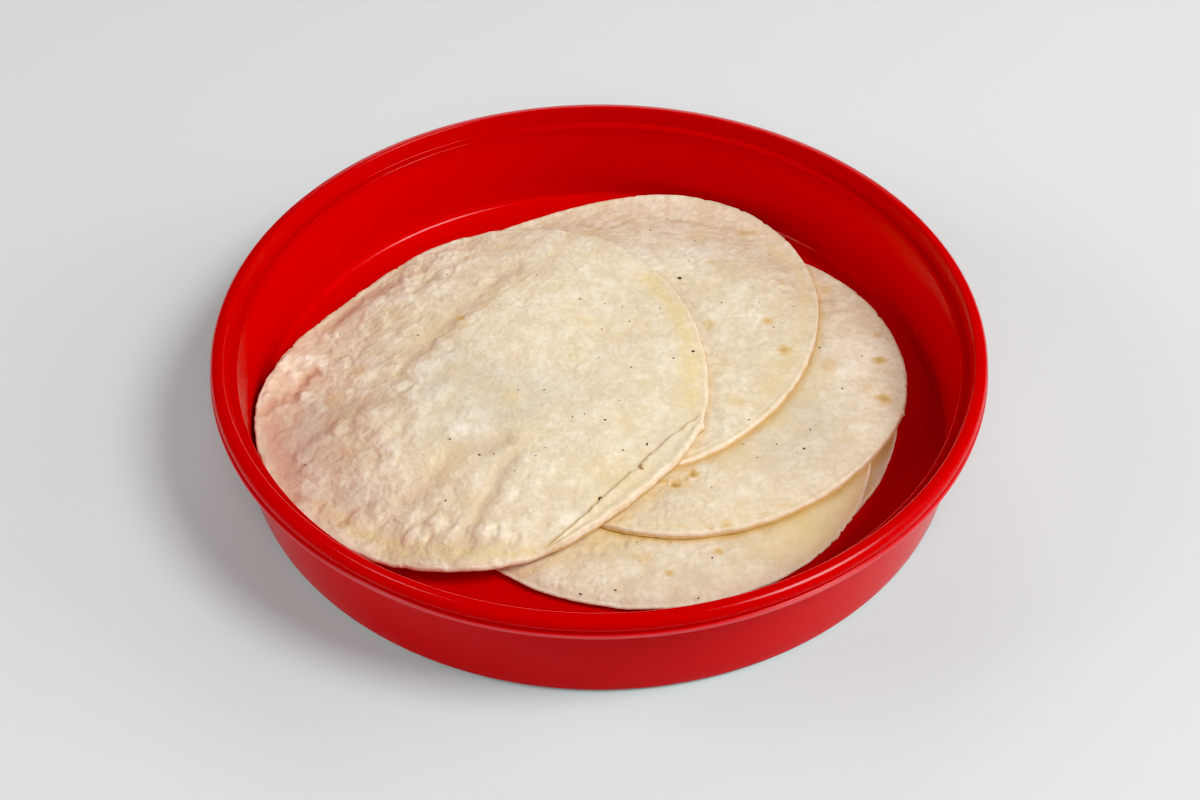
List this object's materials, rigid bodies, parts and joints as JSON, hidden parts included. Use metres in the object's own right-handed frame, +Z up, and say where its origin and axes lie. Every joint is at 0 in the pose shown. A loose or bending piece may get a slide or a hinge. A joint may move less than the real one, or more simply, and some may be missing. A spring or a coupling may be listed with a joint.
{
  "type": "corn tortilla stack",
  "caption": "Thin round corn tortillas fanned out one on another in a shallow round red plastic serving basket with a rounded rim.",
  "frame": {"origin": "centre of the basket's flat underside", "axes": "+Z up along the basket's axis; the tortillas fan out towards +X, with the top one lying furthest towards -X"},
  "size_m": [0.2606, 0.2606, 0.0418],
  "materials": {
    "basket_plastic": "smooth glossy red moulded plastic",
    "corn_tortilla": "dry matt pale cream corn dough with a fine blistered surface and toasted flecks"
  },
  "bodies": {
    "root": {"basket": "basket_plastic", "tortilla_1": "corn_tortilla", "tortilla_2": "corn_tortilla", "tortilla_3": "corn_tortilla", "tortilla_4": "corn_tortilla", "tortilla_5": "corn_tortilla"}
  },
  "joints": []
}
